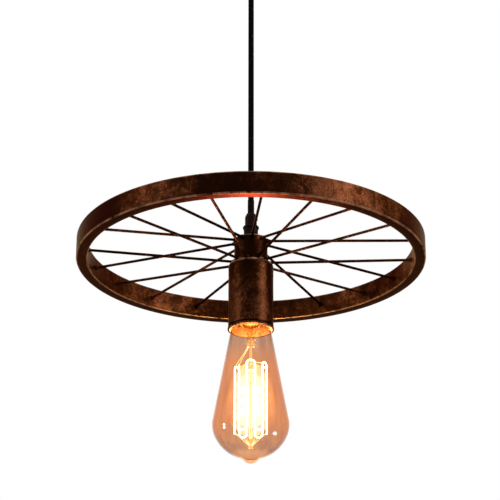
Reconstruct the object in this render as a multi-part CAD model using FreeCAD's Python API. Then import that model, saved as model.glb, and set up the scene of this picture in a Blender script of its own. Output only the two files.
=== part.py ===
import FreeCAD, Part
import math
import os

os.makedirs("parts", exist_ok=True)

# Industrial pendant lamp: a spoked steel wheel round a lamp cup, hung from a ceiling canopy
# by a straight cord. Millimetres. The origin is on the ceiling plane, at the middle of the
# canopy bracket, +Z points up and -Y faces the viewer.

# Shared clearances
overrun = 1.0
thread_gap = 0.2
turning_gap = 0.05
same_place_share = 1e-6
upright_share = 0.5

# Ceiling bracket, a pressed steel strip with two bent ears
bracket_width = 18.0
bracket_thickness = 1.5
bracket_bend_radius = 2.5
ear_drop = 14.0
ear_gap = 0.3
ceiling_slot_spacing = 70.0
ceiling_slot_length = 14.0
ceiling_slot_width = 5.0
supply_hole_radius = 7.0

# Canopy, a spun steel cap against the ceiling
canopy_radius = 50.0
canopy_height = 25.0
canopy_wall = 1.0
canopy_edge_radius = 7.0

# Thumb screws through the canopy's side
thumb_screw_radius = 2.0
thumb_screw_depth = 8.0
thumb_screw_drop = 8.5
thumb_head_radius = 4.0
thumb_head_length = 4.5
thumb_head_round = 1.0

# Terminal block under the bracket
block_length = 17.0
block_width = 20.0
block_height = 12.0
block_round = 1.5
block_waist_width = 4.8
block_waist_depth = 4.0
block_offset = 18.0
pole_spacing = 10.0
pole_bore_radius = 1.6
pole_bore_rise = 5.0
block_screw_radius = 1.5
block_screw_spacing = 8.0
block_screw_head_radius = 2.2
block_screw_head_height = 1.4

# Hollow threaded tubes and their hexagon nuts
nipple_radius = 5.0
nipple_bore_radius = 3.6
nut_height = 3.0
nut_flats = 14.0
nipple_spare = 2.0

# Cord and its two cores
cord_radius = 2.5
core_radius = 1.0
core_spacing = 2.3
canopy_core_bend = 6.3
head_core_bend = 1.5
free_cord_length = 228.0
bend_ball_radius = 2.4
bend_ball_gap = 0.1
free_cord_start = 0.6

# Cord grip, measured outwards from the face it is screwed against
grip_base_radius = 6.0
grip_base_top_radius = 6.3
grip_base_height = 9.6
grip_base_taper_start = 3.5
grip_thread_depth = 7.0
grip_neck_radius = 4.2
grip_neck_height = 16.0
grip_bead_radius = 7.05
grip_bead_height = 2.4
grip_bead_round = 1.1
grip_cap_radius = 5.15
grip_cone_start = 20.7
grip_cone_round = 1.5
grip_height = 24.0
grip_nose_radius = 3.7
grip_mouth_radius = 3.1
grip_end_wall = 2.0
grip_screw_radius = 1.5
grip_screw_height = 19.1
grip_screw_stand = 0.7

# Sleeve on the cord above the lower grip
sleeve_radius = 2.9
sleeve_stand = 13.0

# Wheel; each spoke stands off its even place by a share of the step between two spokes
rim_radius = 150.0
rim_height = 19.2
rim_depth = 10.0
rim_wall = 1.2
rim_round = 1.4
spoke_count = 20
spoke_radius = 1.2
first_spoke_angle = 5.0
spoke_place_shares = [
    0.05, 0.1, 0.1, 0.2, 0.35, 0.15, -0.1, -0.05, 0, -0.05,
    -0.1, 0, -0.05, -0.05, -0.1, -0.05, 0, 0, 0.1, 0.05]
spoke_tip = 1.0

# Hub shell standing on the lamp cup
hub_radius = 14.45
hub_wall = 1.5
hub_height = 22.6
hub_round = 1.2
lower_spoke_rise = 1.6
upper_spoke_rise = 20.0

# Lamp cup
cup_radius = 19.35
cup_height = 60.6
cup_wall = 1.2
cup_shoulder = 3.5
cup_lip_radius = 0.9
cup_lip_stand = 0.4

# Lampholder inside the cup
holder_radius = 16.6
holder_wall = 2.0
holder_boss_radius = 8.5
holder_boss_height = 4.5
holder_dome_radius = 5.0
holder_thread_depth = 7.0
holder_cap_height = 20.0
holder_core_height = 6.0
holder_core_step = 2.0
holder_height = 45.0
holder_lip_height = 1.4
shell_radius = 13.3
shell_wall = 0.4
shell_skin_gap = 0.4
contact_width = 5.0
contact_thickness = 0.5
contact_root_near = 5.0
contact_root_length = 5.0
contact_tongue_half = 2.6
contact_spring_drop = 1.45
terminal_offset = 9.5
terminal_size = 5.0
terminal_height = 4.0
terminal_round = 0.6
terminal_seat_inset = 1.25
terminal_screw_radius = 1.5
terminal_screw_head_radius = 2.0
terminal_screw_head_height = 1.2
jacket_end_drop = 8.0

# Bulb cap
button_radius = 4.6
button_height = 1.1
insulator_height = 4.4
insulator_foot_radius = 11.0
cap_radius = 13.0
cap_wall = 0.4
cap_thread_length = 17.0
cap_flare_radius = 13.6
cap_flare_length = 4.0
cap_flare_lead = 1.0

# Bulb glass
bulb_length = 148.7
glass_radius = 32.2
glass_wall = 0.8
glass_belly_rise = 33.0
glass_belly_arc = 22.0
glass_bottom_arc = 33.0
glass_shoulder_hollow = 3.0
glass_shoulder_round = 6.0
glass_shoulder_inset = 1.8
glass_shoulder_drop = 35.0
pip_radius = 7.5
pip_hollow = 4.0

# Stem, supports and filament inside the glass
stem_wall = 1.0
stem_radius = 3.2
stem_funnel_length = 11.0
stem_funnel_round = 5.0
stem_bore_length = 20.0
stem_length = 24.0
rod_radius = 1.1
bead_radius = 2.2
bead_height = 2.6
bead_round = 0.85
upper_bead_drop = 59.5
lower_bead_drop = 133.5
cage_radius = 13.8
cage_top_drop = 66.7
cage_length = 53.0
cage_loops = 6
cage_open_angle = 210.0
filament_radius = 0.3
support_radius = 0.3
support_tip = 0.9

# Places that follow from the sizes above
z_axis = FreeCAD.Vector(0, 0, 1)
x_axis = FreeCAD.Vector(1, 0, 0)
y_axis = FreeCAD.Vector(0, 1, 0)
centre = FreeCAD.Vector(0, 0, 0)
canopy_face = -canopy_height
upper_mouth = canopy_face - grip_height
lower_mouth = upper_mouth - free_cord_length
hub_top = lower_mouth - grip_height
cup_top = hub_top - hub_height
wheel_bottom = cup_top
spoke_rim_height = wheel_bottom + rim_height / 2
rim_inner_radius = rim_radius - rim_depth
cup_inner_top = cup_top - cup_wall
holder_top = cup_inner_top - nut_height
holder_cap_bottom = holder_top - holder_cap_height
core_top = holder_cap_bottom + holder_core_height - holder_core_step
core_bottom = core_top - holder_core_height
holder_bottom = holder_top - holder_height
shell_skin_radius = shell_radius + shell_wall + shell_skin_gap
contact_face = core_bottom - contact_thickness - contact_spring_drop
bulb_top = contact_face - turning_gap
insulator_top = bulb_top - button_height
cap_top = insulator_top - insulator_height
cap_thread_end = cap_top - cap_thread_length
cap_bottom = cap_thread_end - cap_flare_length
bulb_tip = bulb_top - bulb_length
neck_radius = cap_flare_radius - cap_wall
neck_top = cap_thread_end - cap_flare_lead
belly_height = bulb_tip + glass_belly_rise
nipple_top = canopy_face + canopy_wall + nut_height + nipple_spare
canopy_jacket_end = nipple_top + overrun
head_jacket_end = holder_top - jacket_end_drop


def at(x, z):
    return FreeCAD.Vector(x, 0, z)


def closed_outline(corners):
    """A closed outline in the XZ plane; each corner is x, z and the radius that rounds it."""
    points = [at(x, z) for x, z, rounding in corners]
    ends = []
    for i in range(len(corners)):
        here = points[i]
        before = (points[i - 1] - here).normalize()
        after = (points[(i + 1) % len(points)] - here).normalize()
        rounding = corners[i][2]
        if rounding > 0:
            half_angle = before.getAngle(after) / 2
            setback = rounding / math.tan(half_angle)
            to_middle = (before + after).normalize()
            middle = here + to_middle * (rounding / math.sin(half_angle) - rounding)
            ends.append((here + before * setback, middle, here + after * setback))
        else:
            ends.append((here, None, here))
    edges = []
    for i in range(len(ends)):
        start, middle, finish = ends[i]
        if middle is not None:
            edges.append(Part.Arc(start, middle, finish).toShape())
        following = ends[(i + 1) % len(ends)][0]
        if finish.distanceToPoint(following) > overrun * same_place_share:
            edges.append(Part.LineSegment(finish, following).toShape())
    return Part.Wire(edges)


def turned(corners):
    """A solid of revolution about Z from a rounded outline."""
    return Part.Face(closed_outline(corners)).revolve(centre, z_axis, 360)


def pressed(corners, width):
    """A rounded outline in the XZ plane made solid across Y, centred on Y = 0."""
    face = Part.Face(closed_outline(corners))
    face.translate(FreeCAD.Vector(0, -width / 2, 0))
    return face.extrude(FreeCAD.Vector(0, width, 0))


def post(radius, bottom, top, x=0, y=0):
    return Part.makeCylinder(radius, top - bottom, FreeCAD.Vector(x, y, bottom), z_axis)


def bar(radius, start, finish):
    return Part.makeCylinder(radius, start.distanceToPoint(finish), start, finish - start)


def hex_nut(bottom):
    """A hexagon nut with chamfered corners on the threaded tube."""
    corner_radius = nut_flats / math.sqrt(3)
    corners = []
    for i in range(6):
        corner = FreeCAD.Vector(corner_radius, 0, bottom)
        corners.append(FreeCAD.Rotation(z_axis, 60 * i).multVec(corner))
    blank = Part.Face(Part.makePolygon(corners + corners[:1])).extrude(z_axis * nut_height)
    face_radius = nut_flats / 2
    chamfer = corner_radius - face_radius
    top = bottom + nut_height
    round_blank = turned([
        (0, bottom, 0), (face_radius, bottom, 0), (corner_radius, bottom + chamfer, 0),
        (corner_radius, top - chamfer, 0), (face_radius, top, 0), (0, top, 0)])
    return blank.common(round_blank).cut(post(nipple_radius, bottom - overrun, top + overrun))


def round_wire(runs, radius):
    """A round wire along a chain of straight and round runs, each made from its own circle."""
    pieces = []
    for run in runs:
        start = run.valueAt(run.FirstParameter)
        section = Part.Face(Part.Wire(Part.makeCircle(radius, start, run.tangentAt(run.FirstParameter))))
        if run.Curve.TypeId == "Part::GeomCircle":
            turn = math.degrees(run.LastParameter - run.FirstParameter)
            pieces.append(section.revolve(run.Curve.Center, run.Curve.Axis, turn))
        else:
            pieces.append(section.extrude(run.valueAt(run.LastParameter) - start))
    return pieces[0].multiFuse(pieces[1:])


def bent_wire(points, radius, bend_radius):
    """A round wire along straight runs joined by tangent arcs."""
    runs = []
    start = points[0]
    for i in range(1, len(points) - 1):
        here = points[i]
        before = (points[i - 1] - here).normalize()
        after = (points[i + 1] - here).normalize()
        half_angle = before.getAngle(after) / 2
        setback = bend_radius / math.tan(half_angle)
        to_middle = (before + after).normalize()
        middle = here + to_middle * (bend_radius / math.sin(half_angle) - bend_radius)
        runs.append(Part.LineSegment(start, here + before * setback).toShape())
        runs.append(Part.Arc(here + before * setback, middle, here + after * setback).toShape())
        start = here + after * setback
    runs.append(Part.LineSegment(start, points[-1]).toShape())
    return round_wire(runs, radius)


# Ceiling bracket
def ceiling_bracket():
    inner_radius = canopy_radius - canopy_wall - ear_gap
    ear = math.sqrt(inner_radius ** 2 - (bracket_width / 2) ** 2)
    inside = ear - bracket_thickness
    inside_bend = bracket_bend_radius - bracket_thickness
    strip = pressed([
        (-ear, -ear_drop, 0), (-ear, 0, bracket_bend_radius),
        (ear, 0, bracket_bend_radius), (ear, -ear_drop, 0),
        (inside, -ear_drop, 0), (inside, -bracket_thickness, inside_bend),
        (-inside, -bracket_thickness, inside_bend), (-inside, -ear_drop, 0)], bracket_width)
    low = -bracket_thickness - overrun
    cuts = [post(supply_hole_radius, low, overrun)]
    cuts.append(post(block_screw_radius, low, overrun, block_offset))
    half_run = (ceiling_slot_length - ceiling_slot_width) / 2
    for side in (-1, 1):
        middle = side * ceiling_slot_spacing / 2
        cuts.append(post(ceiling_slot_width / 2, low, overrun, middle - half_run))
        cuts.append(post(ceiling_slot_width / 2, low, overrun, middle + half_run))
        cuts.append(Part.makeBox(2 * half_run, ceiling_slot_width, overrun - low,
                                 FreeCAD.Vector(middle - half_run, -ceiling_slot_width / 2, low)))
    reach = canopy_radius + overrun
    cuts.append(bar(thumb_screw_radius, at(-reach, -thumb_screw_drop), at(reach, -thumb_screw_drop)))
    return strip.cut(cuts)


# Canopy
def canopy():
    inner_radius = canopy_radius - canopy_wall
    inner_face = canopy_face + canopy_wall
    hole_radius = nipple_radius + thread_gap
    shell = turned([
        (hole_radius, canopy_face, 0), (canopy_radius, canopy_face, canopy_edge_radius),
        (canopy_radius, 0, 0), (inner_radius, 0, 0),
        (inner_radius, inner_face, canopy_edge_radius - canopy_wall), (hole_radius, inner_face, 0)])
    start = at(-canopy_radius - overrun, -thumb_screw_drop)
    finish = at(canopy_radius + overrun, -thumb_screw_drop)
    return shell.cut(bar(thumb_screw_radius + thread_gap, start, finish))


def thumb_screw():
    """One canopy screw pointing along -X, its head outside the canopy's wall."""
    tip = canopy_radius - thumb_screw_depth
    head = canopy_radius + thumb_head_length
    profile = turned([
        (0, tip, 0), (thumb_screw_radius, tip, 0), (thumb_screw_radius, canopy_radius, 0),
        (thumb_head_radius, canopy_radius, thumb_head_round / 2),
        (thumb_head_radius, head, thumb_head_round), (0, head, 0)])
    profile.rotate(centre, y_axis, 90)
    profile.translate(FreeCAD.Vector(0, 0, -thumb_screw_drop))
    return profile


def canopy_screws():
    right = thumb_screw()
    left = right.copy()
    left.rotate(centre, z_axis, 180)
    return Part.makeCompound([right, left])


# Terminal block
def block_screw_places():
    places = []
    for end in (-1, 1):
        x = block_offset + end * block_screw_spacing / 2
        places.append((x, -pole_spacing / 2))
        places.append((x, pole_spacing / 2))
    return places


def upright_edges(box):
    return [e for e in box.Edges if abs(e.tangentAt(e.FirstParameter).z) > upright_share]


def terminal_block():
    """A moulded two-pole block with a waist between its poles."""
    top = -bracket_thickness
    bottom = top - block_height
    left = block_offset - block_length / 2
    corner = FreeCAD.Vector(left, -block_width / 2, bottom)
    body = Part.makeBox(block_length, block_width, block_height, corner)
    body = body.makeFillet(block_round, upright_edges(body))
    cuts = [post(block_screw_radius, bottom - overrun, top + overrun, block_offset)]
    through = block_length + 2 * overrun
    corner = FreeCAD.Vector(left - overrun, -block_waist_width / 2, bottom)
    cuts.append(Part.makeBox(through, block_waist_width, block_waist_depth, corner))
    bore_height = bottom + pole_bore_rise
    for pole in (-1, 1):
        start = FreeCAD.Vector(left - overrun, pole * pole_spacing / 2, bore_height)
        cuts.append(Part.makeCylinder(pole_bore_radius, through, start, x_axis))
    head_top = bottom + block_screw_head_height
    for x, y in block_screw_places():
        cuts.append(post(block_screw_radius, bottom - overrun, bore_height, x, y))
        cuts.append(post(block_screw_head_radius, bottom - overrun, head_top, x, y))
    return body.cut(cuts)


def terminal_screws():
    """Four clamping screws over the poles and the fixing screw into the bracket."""
    bottom = -bracket_thickness - block_height
    screws = []
    for x, y in block_screw_places():
        head = post(block_screw_head_radius, bottom, bottom + block_screw_head_height, x, y)
        shank_top = bottom + pole_bore_rise - core_radius
        screws.append(head.fuse(post(block_screw_radius, bottom, shank_top, x, y)))
    seat = bottom + block_waist_depth
    face = seat - block_screw_head_height
    fixing_head = post(block_screw_head_radius, face, seat, block_offset)
    screws.append(fixing_head.fuse(post(block_screw_radius, face, 0, block_offset)))
    return Part.makeCompound([screw.removeSplitter() for screw in screws])


def canopy_leads():
    """The cord's two cores, from the end of its jacket into the block's poles."""
    bore_height = -bracket_thickness - block_height + pole_bore_rise
    left = block_offset - block_length / 2
    leads = []
    for pole in (-1, 1):
        y = pole * core_spacing / 2
        entry = FreeCAD.Vector(left, pole * pole_spacing / 2, bore_height)
        points = [
            FreeCAD.Vector(0, y, canopy_jacket_end), FreeCAD.Vector(0, y, bore_height),
            entry, entry + x_axis * block_screw_spacing]
        leads.append(bent_wire(points, core_radius, canopy_core_bend))
    return Part.makeCompound(leads)


# Cord grip pieces, standing on Z = 0 with the cord leaving upwards
def grip_base():
    return turned([
        (nipple_radius, 0, 0), (grip_base_radius, 0, 0),
        (grip_base_radius, grip_base_taper_start, 0),
        (grip_base_top_radius, grip_base_height, 0), (grip_neck_radius, grip_base_height, 0),
        (grip_neck_radius, grip_neck_height, 0), (cord_radius, grip_neck_height, 0),
        (cord_radius, grip_thread_depth, 0), (nipple_radius, grip_thread_depth, 0)])


def grip_cap():
    bead_top = grip_base_height + grip_bead_height
    inner_top = grip_height - grip_end_wall
    shell = turned([
        (grip_neck_radius, grip_base_height, 0),
        (grip_bead_radius, grip_base_height, grip_bead_round),
        (grip_bead_radius, bead_top, grip_bead_round), (grip_cap_radius, bead_top, 0),
        (grip_cap_radius, grip_cone_start, grip_cone_round), (grip_nose_radius, grip_height, 0),
        (grip_mouth_radius, grip_height, 0), (grip_mouth_radius, inner_top, 0),
        (grip_neck_radius, inner_top, 0)])
    axis_point = at(0, grip_screw_height)
    return shell.cut(bar(grip_screw_radius, axis_point, at(grip_bead_radius, grip_screw_height)))


def grip_screw(held_radius):
    """The clamping screw in the cap's side, its tip on the cord or its sleeve."""
    tip = at(held_radius, grip_screw_height)
    face = at(grip_cap_radius + grip_screw_stand, grip_screw_height)
    return bar(grip_screw_radius, tip, face)


def on_canopy(shape):
    shape.rotate(centre, x_axis, 180)
    shape.translate(FreeCAD.Vector(0, 0, canopy_face))
    return shape


def on_hub(shape):
    shape.translate(FreeCAD.Vector(0, 0, hub_top))
    return shape


def threaded_tube(bottom, top):
    return turned([
        (nipple_bore_radius, bottom, 0), (nipple_radius, bottom, 0),
        (nipple_radius, top, 0), (nipple_bore_radius, top, 0)])


# Cord, from the terminal block to the lampholder
def cord_tail_canopy():
    return post(cord_radius, upper_mouth + bend_ball_radius + bend_ball_gap, canopy_jacket_end)


def cord_bend():
    """The bend of the cord in the upper grip's mouth, a ball that the free cord swings on."""
    return Part.makeSphere(bend_ball_radius, at(0, upper_mouth))


def cord():
    """The free cord, hollowed over the ball and ending on the lower grip's neck."""
    bottom = hub_top + grip_neck_height + turning_gap
    socket = Part.makeSphere(bend_ball_radius + turning_gap, at(0, upper_mouth))
    return post(cord_radius, bottom, upper_mouth - free_cord_start).cut(socket)


def cord_sleeve():
    bottom = hub_top + grip_neck_height
    top = lower_mouth + sleeve_stand
    bore = cord_radius + turning_gap
    return turned([
        (bore, bottom, 0), (sleeve_radius, bottom, 0), (sleeve_radius, top, 0), (bore, top, 0)])


def cord_tail_head():
    return post(cord_radius, head_jacket_end, hub_top + grip_neck_height)


def head_leads():
    """The cord's two cores, from the end of its jacket down onto the lampholder's terminals."""
    seat = core_top + terminal_height
    middle = (head_jacket_end + seat) / 2
    leads = []
    for side in (-1, 1):
        inner = side * core_spacing / 2
        outer = side * (terminal_offset - terminal_seat_inset)
        points = [at(inner, head_jacket_end), at(inner, middle), at(outer, middle), at(outer, seat)]
        leads.append(bent_wire(points, core_radius, head_core_bend))
    return Part.makeCompound(leads)


# Wheel
def spoke_line(index):
    """The two ends of a spoke, inside the hub's wall and inside the rim tube."""
    place = index + spoke_place_shares[index % len(spoke_place_shares)]
    turn = math.radians(first_spoke_angle + 360 / spoke_count * place)
    rise = lower_spoke_rise if index % 2 == 0 else upper_spoke_rise
    hub_height_here = cup_top + rise
    slope = (spoke_rim_height - hub_height_here) / (rim_inner_radius - hub_radius)
    near = hub_radius - hub_wall - spoke_tip
    far = rim_inner_radius + rim_wall + spoke_tip
    ends = []
    for radius in (near, far):
        height = hub_height_here + (radius - hub_radius) * slope
        ends.append(FreeCAD.Vector(radius * math.cos(turn), radius * math.sin(turn), height))
    return ends


def spoke(index):
    near, far = spoke_line(index)
    return bar(spoke_radius, near, far)


def rim():
    """A rolled rectangular steel tube, its inner wall drilled for the spokes."""
    top = wheel_bottom + rim_height
    tube = turned([
        (rim_inner_radius, wheel_bottom, rim_round), (rim_radius, wheel_bottom, rim_round),
        (rim_radius, top, rim_round), (rim_inner_radius, top, rim_round)])
    near = rim_inner_radius + rim_wall
    far = rim_radius - rim_wall
    floor = wheel_bottom + rim_wall
    roof = top - rim_wall
    hollow = turned([(near, floor, 0), (far, floor, 0), (far, roof, 0), (near, roof, 0)])
    return tube.cut(hollow).cut([spoke(i) for i in range(spoke_count)])


# Hub shell
def hub_shell():
    """A drawn cap, drilled in two rings for the spokes, with a hole for the threaded tube."""
    inner_radius = hub_radius - hub_wall
    hole_radius = nipple_radius + thread_gap
    inner_top = hub_top - hub_wall
    cap = turned([
        (inner_radius, cup_top, 0), (hub_radius, cup_top, 0), (hub_radius, hub_top, hub_round),
        (hole_radius, hub_top, 0), (hole_radius, inner_top, 0), (inner_radius, inner_top, 0)])
    return cap.cut([spoke(i) for i in range(spoke_count)])


# Lamp cup
def lamp_cup():
    """A deep drawn steel cup, open downwards, with a small rolled bead at its mouth."""
    mouth = cup_top - cup_height
    inner_radius = cup_radius - cup_wall
    hole_radius = nipple_radius + thread_gap
    bead_top = mouth + 2 * cup_lip_radius
    lip_radius = cup_radius + cup_lip_stand
    return turned([
        (hole_radius, cup_top, 0), (cup_radius, cup_top, cup_shoulder), (cup_radius, bead_top, 0),
        (lip_radius, bead_top - cup_lip_stand, cup_lip_stand / 2),
        (lip_radius, mouth, cup_lip_radius / 2), (inner_radius, mouth, 0),
        (inner_radius, cup_inner_top, cup_shoulder - cup_wall), (hole_radius, cup_inner_top, 0)])


# Lampholder
def holder_cap():
    boss_bottom = holder_top - holder_thread_depth
    shoulder = holder_top - holder_boss_height
    inner_radius = holder_radius - holder_wall
    ceiling = min(shoulder - holder_wall, boss_bottom)
    return turned([
        (nipple_radius, holder_top, 0), (holder_boss_radius, holder_top, holder_wall / 2),
        (holder_boss_radius, shoulder, 0), (holder_radius, shoulder, holder_dome_radius),
        (holder_radius, holder_cap_bottom, 0), (inner_radius, holder_cap_bottom, 0),
        (inner_radius, ceiling, holder_dome_radius - holder_wall), (nipple_radius, ceiling, 0)])


def holder_core():
    """The stepped insulating disc that carries both terminals and the screw shell."""
    wide_radius = holder_radius - holder_wall
    return turned([
        (0, core_top, 0), (wide_radius, core_top, 0), (wide_radius, holder_cap_bottom, 0),
        (shell_skin_radius, holder_cap_bottom, 0), (shell_skin_radius, core_bottom, 0),
        (0, core_bottom, 0)])


def holder_body():
    """The insulating skirt round the screw shell, with a lip that carries the shell."""
    lip_top = holder_bottom + holder_lip_height
    return turned([
        (shell_skin_radius, holder_cap_bottom, 0), (holder_radius, holder_cap_bottom, 0),
        (holder_radius, holder_bottom, holder_wall / 2), (shell_radius, holder_bottom, 0),
        (shell_radius, lip_top, 0), (shell_skin_radius, lip_top, 0)])


def screw_shell():
    lip_top = holder_bottom + holder_lip_height
    outer = shell_radius + shell_wall
    return turned([
        (shell_radius, lip_top, 0), (outer, lip_top, 0),
        (outer, core_bottom, 0), (shell_radius, core_bottom, 0)])


def centre_contact():
    """A sprung bronze tongue under the core that presses on the bulb's button."""
    root_end = contact_root_near + contact_root_length
    low = core_bottom - contact_spring_drop
    return pressed([
        (-root_end, core_bottom, 0), (-contact_root_near, core_bottom, contact_thickness),
        (-contact_tongue_half, low, contact_thickness), (contact_tongue_half, low, 0),
        (contact_tongue_half, contact_face, 0), (-contact_tongue_half, contact_face, contact_thickness),
        (-contact_root_near, core_bottom - contact_thickness, contact_thickness),
        (-root_end, core_bottom - contact_thickness, 0)], contact_width)


def holder_terminals():
    """Two brass blocks on the core, each with its clamping screw."""
    solids = []
    for side in (-1, 1):
        half = terminal_size / 2
        corner = FreeCAD.Vector(side * terminal_offset - half, -half, core_top)
        block = Part.makeBox(terminal_size, terminal_size, terminal_height, corner)
        block = block.makeFillet(terminal_round, upright_edges(block))
        start = FreeCAD.Vector(side * terminal_offset, -half, core_top + terminal_height / 2)
        tap = Part.makeCylinder(terminal_screw_radius, half, start, y_axis)
        solids.append(block.cut(tap))
        head = Part.makeCylinder(
            terminal_screw_head_radius, terminal_screw_head_height, start, -y_axis)
        solids.append(head.fuse(tap).removeSplitter())
    return Part.makeCompound(solids)


# Bulb cap
def bulb_tip_contact():
    return turned([
        (0, bulb_top, 0), (button_radius, bulb_top, button_height / 2),
        (button_radius, insulator_top, 0), (0, insulator_top, 0)])


def bulb_insulator():
    seat = insulator_top - turning_gap
    foot_top = cap_top - cap_wall
    return turned([
        (0, seat, 0), (button_radius + button_height, seat, button_height / 2),
        (insulator_foot_radius, cap_top, 0), (insulator_foot_radius, foot_top, 0), (0, foot_top, 0)])


def bulb_cap():
    """A thin brass shell: closed round the insulator, parallel over the thread, flared at its foot."""
    inner = cap_radius - cap_wall
    flare_inner = cap_flare_radius - cap_wall
    flare_start = cap_thread_end - cap_flare_lead
    closed_end = cap_top - cap_radius + insulator_foot_radius
    return turned([
        (insulator_foot_radius, cap_top, 0), (cap_radius, closed_end, cap_wall),
        (cap_radius, cap_thread_end, 0), (cap_flare_radius, flare_start, cap_wall),
        (cap_flare_radius, cap_bottom, 0), (flare_inner, cap_bottom, 0),
        (flare_inner, flare_start, 0), (inner, cap_thread_end, 0), (inner, closed_end, 0),
        (insulator_foot_radius, cap_top - cap_wall, 0)])


# Bulb glass
def on_circle(middle, radius, angle):
    return at(middle[0] + radius * math.cos(angle), middle[1] + radius * math.sin(angle))


def arc(middle, radius, first, last):
    points = [on_circle(middle, radius, angle) for angle in (first, (first + last) / 2, last)]
    return Part.Arc(*points).toShape()


def cone_slant(belly, shoulder):
    """The lean of the straight side that touches both the belly's and the shoulder's arc."""
    across = belly[0] - shoulder[0]
    drop = shoulder[1] - belly[1]
    apart = math.hypot(across, drop)
    return math.acos((glass_shoulder_round - glass_belly_arc) / apart) - math.atan2(drop, across)


def glass_side(skin):
    """Edges of the glass from its neck to the bottom arc, moved inwards by skin.

    The cone is tangent to the belly, and two arcs lead from the cone into the neck.
    The bottom arc is centred on the axis and tangent to the belly."""
    belly = (glass_radius - glass_belly_arc, belly_height)
    shoulder = (neck_radius - glass_shoulder_inset, bulb_top - glass_shoulder_drop)
    slant = cone_slant(belly, shoulder)
    across = glass_shoulder_hollow + glass_shoulder_inset
    reach = glass_shoulder_hollow + glass_shoulder_round
    rise = math.sqrt(reach ** 2 - across ** 2)
    hollow = (neck_radius + glass_shoulder_hollow, shoulder[1] + rise)
    turn = math.atan2(rise, across)
    bottom = bottom_centre()
    meet = math.atan2(belly[1] - bottom[1], belly[0])
    hollow_arc = glass_shoulder_hollow + skin
    round_arc = glass_shoulder_round - skin
    belly_arc = glass_belly_arc - skin
    neck_foot = on_circle(hollow, hollow_arc, math.pi)
    cone_start = on_circle(shoulder, round_arc, slant)
    cone_end = on_circle(belly, belly_arc, slant)
    return [
        Part.LineSegment(at(neck_foot.x, neck_top), neck_foot).toShape(),
        arc(hollow, hollow_arc, math.pi, math.pi + turn),
        arc(shoulder, round_arc, turn, slant),
        Part.LineSegment(cone_start, cone_end).toShape(),
        arc(belly, belly_arc, slant, meet)], meet


def bottom_centre():
    between = glass_bottom_arc - glass_belly_arc
    return (0, belly_height + math.sqrt(between ** 2 - (glass_radius - glass_belly_arc) ** 2))


def glass_solid(edges, neck, lowest):
    """The turned solid inside a glass outline that runs from the neck to the axis."""
    closing = [
        Part.LineSegment(at(0, lowest), at(0, neck_top)).toShape(),
        Part.LineSegment(at(0, neck_top), at(neck, neck_top)).toShape()]
    return Part.Face(Part.Wire(edges + closing)).revolve(centre, z_axis, 360)


def bulb_glass():
    """A blown envelope, open at its neck, with the sealed pip left solid under its bottom."""
    bottom = bottom_centre()
    outer_edges, meet = glass_side(0)
    pip = (0, bulb_tip + pip_radius)
    apart = bottom[1] - pip[1]
    wide = glass_bottom_arc + pip_hollow
    narrow = pip_radius + pip_hollow
    rise = (apart ** 2 - wide ** 2 + narrow ** 2) / (2 * apart)
    hollow = (math.sqrt(narrow ** 2 - rise ** 2), pip[1] + rise)
    leave = math.atan2(hollow[1] - bottom[1], hollow[0])
    enter = math.atan2(rise, hollow[0])
    outer_edges.append(arc(bottom, glass_bottom_arc, meet, leave))
    outer_edges.append(arc(hollow, pip_hollow, leave + math.pi, enter + math.pi))
    outer_edges.append(arc(pip, pip_radius, enter, -math.pi / 2))
    outer = glass_solid(outer_edges, neck_radius, bulb_tip)
    inner_edges, meet = glass_side(glass_wall)
    inner_arc = glass_bottom_arc - glass_wall
    inner_edges.append(arc(bottom, inner_arc, meet, -math.pi / 2))
    return outer.cut(glass_solid(inner_edges, neck_radius - glass_wall, bottom[1] - inner_arc))


# Stem, supports and filament
def bulb_stem():
    """The glass funnel sealed into the neck, drawn out into a rod with two beads."""
    mouth_radius = neck_radius - glass_wall
    funnel_end = neck_top - stem_funnel_length
    bore_radius = stem_radius - stem_wall
    stem_end = neck_top - stem_length
    stem = turned([
        (mouth_radius - stem_wall, neck_top, 0), (mouth_radius, neck_top, 0),
        (mouth_radius, neck_top - stem_wall, 0), (stem_radius, funnel_end, stem_funnel_round),
        (stem_radius, stem_end, stem_wall), (0, stem_end, 0),
        (0, neck_top - stem_bore_length, 0), (bore_radius, neck_top - stem_bore_length, 0),
        (bore_radius, funnel_end, stem_funnel_round - stem_wall)])
    rod_end = bulb_top - lower_bead_drop - bead_height
    stem = stem.fuse(post(rod_radius, rod_end, stem_end))
    for drop in (upper_bead_drop, lower_bead_drop):
        top = bulb_top - drop
        stem = stem.fuse(turned([
            (0, top, 0), (bead_radius, top, bead_round),
            (bead_radius, top - bead_height, bead_round), (0, top - bead_height, 0)]))
    return stem.removeSplitter()


def cage_turn(strands):
    """The angle so many strands on from the cage's open side."""
    return math.radians(cage_open_angle) + math.pi / cage_loops * strands


def strand_place(index, height):
    turn = cage_turn(index + 1 / 2)
    return FreeCAD.Vector(cage_radius * math.cos(turn), cage_radius * math.sin(turn), height)


def loop_radius():
    return cage_radius * math.sin(math.pi / cage_loops / 2)


def bulb_filament():
    """One wire that runs down and up round the cage, half a circle at each turn.

    Its two ends are neighbours, on either side of the cage's open angle."""
    top = bulb_top - cage_top_drop
    bottom = top - cage_length
    strands = 2 * cage_loops
    runs = []
    for i in range(strands):
        first, last = (top, bottom) if i % 2 == 0 else (bottom, top)
        finish = strand_place(i, last)
        runs.append(Part.LineSegment(strand_place(i, first), finish).toShape())
        if i < strands - 1:
            following = strand_place(i + 1, last)
            outward = -loop_radius() if last == bottom else loop_radius()
            middle = (finish + following) / 2 + z_axis * outward
            runs.append(Part.Arc(finish, middle, following).toShape())
    return round_wire(runs, filament_radius)


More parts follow.
